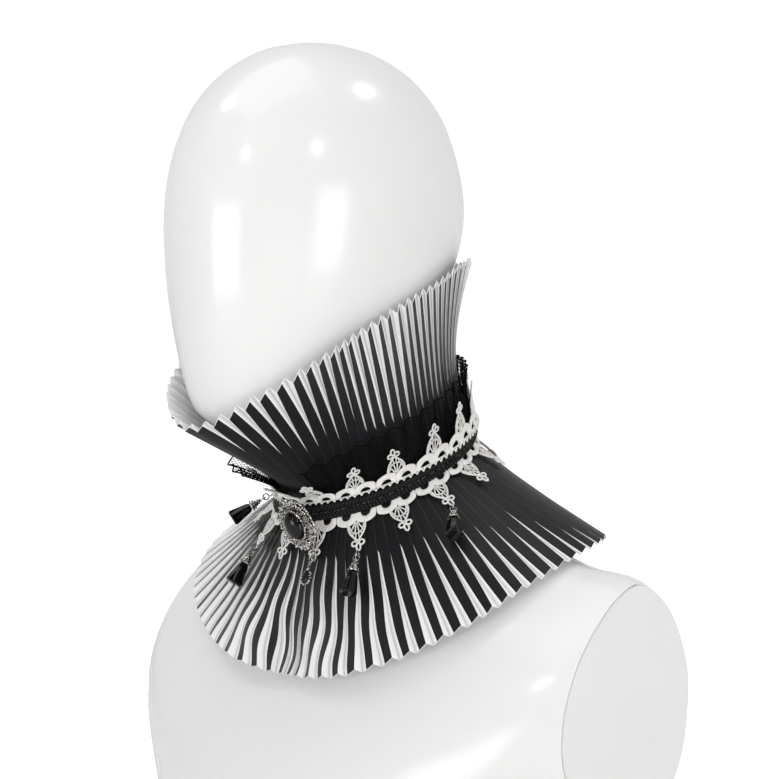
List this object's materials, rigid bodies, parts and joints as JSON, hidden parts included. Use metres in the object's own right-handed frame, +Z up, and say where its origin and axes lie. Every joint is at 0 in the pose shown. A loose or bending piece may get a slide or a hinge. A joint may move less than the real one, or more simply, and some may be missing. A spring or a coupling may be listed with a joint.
{
  "type": "stand collar on a display bust",
  "caption": "Pleated black and white stand collar with lace, net, braid, brooch and black glass drops, on a limbless white display bust.",
  "frame": {"origin": "middle of the bust's flat base", "axes": "+Z up, the wearer faces -Y, the wearer's left is +X"},
  "size_m": [0.332, 0.2417, 0.4355],
  "materials": {
    "gloss_white_shell": "gloss",
    "pleated_black_and_white": "satin pleats, charcoal and white",
    "black_band": "matt cotton",
    "black_net": "matt net",
    "black_gimp": "silky braid",
    "off_white_guipure": "matt cotton lace",
    "antique_silver": "antique silver colour, darkened in the recesses",
    "black_glass": "polished, faceted, opaque"
  },
  "bodies": {
    "collar": {"display_bust": "gloss_white_shell", "neck_band": "black_band", "upper_ruff": "pleated_black_and_white", "lower_capelet": "pleated_black_and_white", "net_ruffle_left": "black_net", "net_ruffle_right": "black_net", "braid": "black_gimp", "upper_lace_left": "off_white_guipure", "upper_lace_right": "off_white_guipure", "lower_lace_left": "off_white_guipure", "lower_lace_right": "off_white_guipure", "brooch_frame": "antique_silver", "brooch_stone": "black_glass", "brooch_ring": "antique_silver", "drop_ring_1": "antique_silver", "drop_ring_2": "antique_silver", "drop_ring_3": "antique_silver", "drop_ring_4": "antique_silver", "clasp_hook": "antique_silver", "clasp_eye": "antique_silver"},
    "drop_1": {"drop_cap_1": "antique_silver", "glass_drop_1": "black_glass"},
    "drop_2": {"drop_cap_2": "antique_silver", "glass_drop_2": "black_glass"},
    "drop_3": {"drop_cap_3": "antique_silver", "glass_drop_3": "black_glass"},
    "drop_4": {"drop_cap_4": "antique_silver", "glass_drop_4": "black_glass"},
    "pendant": {"brooch_pendant": "antique_silver"}
  },
  "joints": [
    {"name": "drop_1_swing", "type": "hinge", "parent": "collar", "child": "drop_1", "pos_m": [-0.07551, -0.01555, 0.17961], "axis": [-0.7823, 0.6229, 0], "range_deg": [0, 60]},
    {"name": "drop_2_swing", "type": "hinge", "parent": "collar", "child": "drop_2", "pos_m": [-0.04158, -0.05564, 0.15396], "axis": [-0.9452, 0.3266, 0], "range_deg": [0, 60]},
    {"name": "drop_3_swing", "type": "hinge", "parent": "collar", "child": "drop_3", "pos_m": [0.04099, -0.05519, 0.15481], "axis": [-0.939, -0.3439, 0], "range_deg": [0, 60]},
    {"name": "drop_4_swing", "type": "hinge", "parent": "collar", "child": "drop_4", "pos_m": [0.0746, -0.01525, 0.18006], "axis": [-0.7206, -0.6934, 0], "range_deg": [0, 60]},
    {"name": "pendant_swing", "type": "hinge", "parent": "collar", "child": "pendant", "pos_m": [0.01536, -0.06379, 0.15371], "axis": [-0.9979, -0.0641, 0], "range_deg": [0, 60]}
  ]
}
